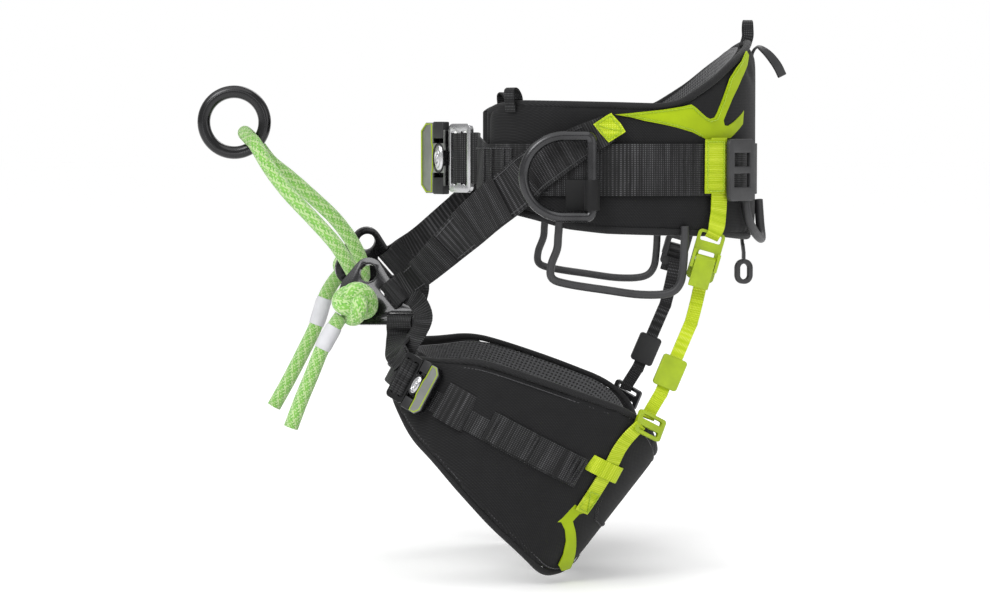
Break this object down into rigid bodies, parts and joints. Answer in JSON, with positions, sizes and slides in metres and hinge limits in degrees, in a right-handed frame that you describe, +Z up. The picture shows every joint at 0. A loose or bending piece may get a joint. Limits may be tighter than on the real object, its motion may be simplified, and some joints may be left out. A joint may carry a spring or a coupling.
{
  "type": "tree climbing saddle",
  "caption": "Arborist saddle: padded waist belt and leg loops, hip D-rings, gear loops and a knotted rope bridge with a friction ring between two front plates.",
  "frame": {"origin": "centre of the waist loop, level with the middle of the waist belt", "axes": "+Z up, -X to the wearer's front, -Y to the wearer's left"},
  "size_m": [0.5332, 0.3798, 0.4882],
  "materials": {
    "softshell": "matt woven softshell over foam",
    "mesh_lining": "open spacer mesh",
    "black_webbing": "ribbed polyester webbing with a low sheen",
    "green_laminate": "smooth laminated fabric",
    "green_webbing": "tubular polyester webbing",
    "black_alloy": "black anodised, glossy",
    "silver_alloy": "polished and clear anodised",
    "grey_alloy": "bead blasted",
    "grey_moulding": "fine moulded texture",
    "green_moulding": "satin moulded",
    "green_rope": "braided kernmantle with white and dark tracers",
    "white_sleeve": "heat shrunk, satin"
  },
  "bodies": {
    "saddle": {"waist_pad": "softshell", "waist_lining": "mesh_lining", "waist_belt": "black_webbing", "rear_yoke": "green_laminate", "belt_keepers": "black_webbing", "waist_buckle_housing": "black_alloy", "waist_buckle_cover": "grey_alloy", "waist_buckle_tongue": "silver_alloy", "ladder_plates": "grey_moulding", "rear_gear_loops": "grey_moulding", "gear_loop_left": "grey_moulding", "gear_loop_right": "grey_moulding", "hanging_loop": "black_webbing", "pull_tab": "grey_moulding", "key_loop": "grey_moulding", "front_strap_left": "black_webbing", "front_strap_right": "black_webbing", "strap_ends": "green_laminate", "leg_drop_strap_left": "black_webbing", "leg_drop_strap_right": "black_webbing", "side_ring_loops": "black_webbing", "riser_hanger_left": "green_webbing", "riser_hanger_right": "black_webbing", "riser_strap_left": "green_webbing", "riser_strap_right": "black_webbing", "riser_buckle_left": "green_moulding", "riser_buckle_right": "grey_moulding", "riser_pins": "silver_alloy", "lower_buckle_left": "green_moulding", "lower_buckle_right": "grey_moulding", "leg_pad_left": "softshell", "leg_pad_right": "softshell", "leg_lining_left": "mesh_lining", "leg_lining_right": "mesh_lining", "leg_web_left": "black_webbing", "leg_web_right": "black_webbing", "leg_buckle_housing_left": "black_alloy", "leg_buckle_housing_right": "black_alloy", "leg_buckle_tongue_left": "silver_alloy", "leg_buckle_tongue_right": "silver_alloy", "front_plate_left": "black_alloy", "front_plate_right": "black_alloy"},
    "bridge": {"bridge_rope": "green_rope", "rope_tail_left": "green_rope", "rope_tail_right": "green_rope", "stopper_knots": "green_rope", "rope_sleeves": "white_sleeve"},
    "bridge_ring": {"friction_ring": "black_alloy"},
    "side_ring_left": {"side_ring_left": "black_alloy"},
    "side_ring_right": {"side_ring_right": "black_alloy"},
    "waist_catch_upper": {"waist_catch_upper": "black_alloy"},
    "waist_catch_lower": {"waist_catch_lower": "black_alloy"},
    "leg_catch_upper_left": {"leg_catch_upper_left": "black_alloy"},
    "leg_catch_lower_left": {"leg_catch_lower_left": "black_alloy"},
    "leg_catch_upper_right": {"leg_catch_upper_right": "black_alloy"},
    "leg_catch_lower_right": {"leg_catch_lower_right": "black_alloy"},
    "riser_lever_left": {"riser_lever_left": "green_moulding"},
    "riser_lever_right": {"riser_lever_right": "grey_moulding"},
    "riser_slider_left": {"riser_slider_left": "green_moulding"},
    "riser_slider_right": {"riser_slider_right": "grey_moulding"}
  },
  "joints": [
    {"name": "side_ring_left_swing", "type": "hinge", "parent": "saddle", "child": "side_ring_left", "pos_m": [-0.027, -0.1824, -0.005], "axis": [0, 0, 1], "range_deg": [0, 150]},
    {"name": "side_ring_right_swing", "type": "hinge", "parent": "saddle", "child": "side_ring_right", "pos_m": [-0.027, 0.1824, -0.005], "axis": [0, 0, -1], "range_deg": [0, 150]},
    {"name": "bridge_swing", "type": "hinge", "parent": "saddle", "child": "bridge", "pos_m": [-0.226, -0.056, -0.124], "axis": [-0.0348, 0.9754, 0.2177], "range_deg": [-30, 25]},
    {"name": "bridge_ring_swing", "type": "hinge", "parent": "bridge", "child": "bridge_ring", "pos_m": [-0.3235, 0, 0.0225], "axis": [0.7071, 0, 0.7071], "range_deg": [-75, 75]},
    {"name": "waist_catch_upper_press", "type": "slide", "parent": "saddle", "child": "waist_catch_upper", "axis": [0, 0, -1], "range_m": [0, 0.003], "stiffness_N_per_m": 800, "springref_m": -0.002},
    {"name": "waist_catch_lower_press", "type": "slide", "parent": "saddle", "child": "waist_catch_lower", "axis": [0, 0, 1], "range_m": [0, 0.003], "stiffness_N_per_m": 800, "springref_m": -0.002},
    {"name": "leg_catch_upper_left_press", "type": "slide", "parent": "saddle", "child": "leg_catch_upper_left", "axis": [-0.4711, 0, -0.8821], "range_m": [0, 0.0021], "stiffness_N_per_m": 800, "springref_m": -0.002},
    {"name": "leg_catch_lower_left_press", "type": "slide", "parent": "saddle", "child": "leg_catch_lower_left", "axis": [0.4711, 0, 0.8821], "range_m": [0, 0.0021], "stiffness_N_per_m": 800, "springref_m": -0.002},
    {"name": "leg_catch_upper_right_press", "type": "slide", "parent": "saddle", "child": "leg_catch_upper_right", "axis": [-0.4711, 0, -0.8821], "range_m": [0, 0.0021], "stiffness_N_per_m": 800, "springref_m": -0.002},
    {"name": "leg_catch_lower_right_press", "type": "slide", "parent": "saddle", "child": "leg_catch_lower_right", "axis": [0.4711, 0, 0.8821], "range_m": [0, 0.0021], "stiffness_N_per_m": 800, "springref_m": -0.002},
    {"name": "riser_lever_left_lift", "type": "hinge", "parent": "saddle", "child": "riser_lever_left", "pos_m": [0.0719, -0.1594, -0.07785], "axis": [-0.9613, 0, 0.2756], "range_deg": [0, 70], "stiffness_Nm_per_rad": 0.02, "springref_deg": -17.19},
    {"name": "riser_lever_right_lift", "type": "hinge", "parent": "saddle", "child": "riser_lever_right", "pos_m": [0.0719, 0.1594, -0.07785], "axis": [0.9613, 0, -0.2756], "range_deg": [0, 70], "stiffness_Nm_per_rad": 0.02, "springref_deg": -17.19},
    {"name": "riser_slider_left_run", "type": "slide", "parent": "saddle", "child": "riser_slider_left", "axis": [0.3919, 0.0301, 0.9195], "range_m": [-0.005, 0.022]},
    {"name": "riser_slider_right_run", "type": "slide", "parent": "saddle", "child": "riser_slider_right", "axis": [0.3919, -0.0301, 0.9195], "range_m": [-0.005, 0.022]}
  ],
  "couplings": [
    {"joint": "waist_catch_lower_press", "follows": "waist_catch_upper_press", "ratio": 1},
    {"joint": "leg_catch_lower_left_press", "follows": "leg_catch_upper_left_press", "ratio": 1},
    {"joint": "leg_catch_lower_right_press", "follows": "leg_catch_upper_right_press", "ratio": 1}
  ]
}
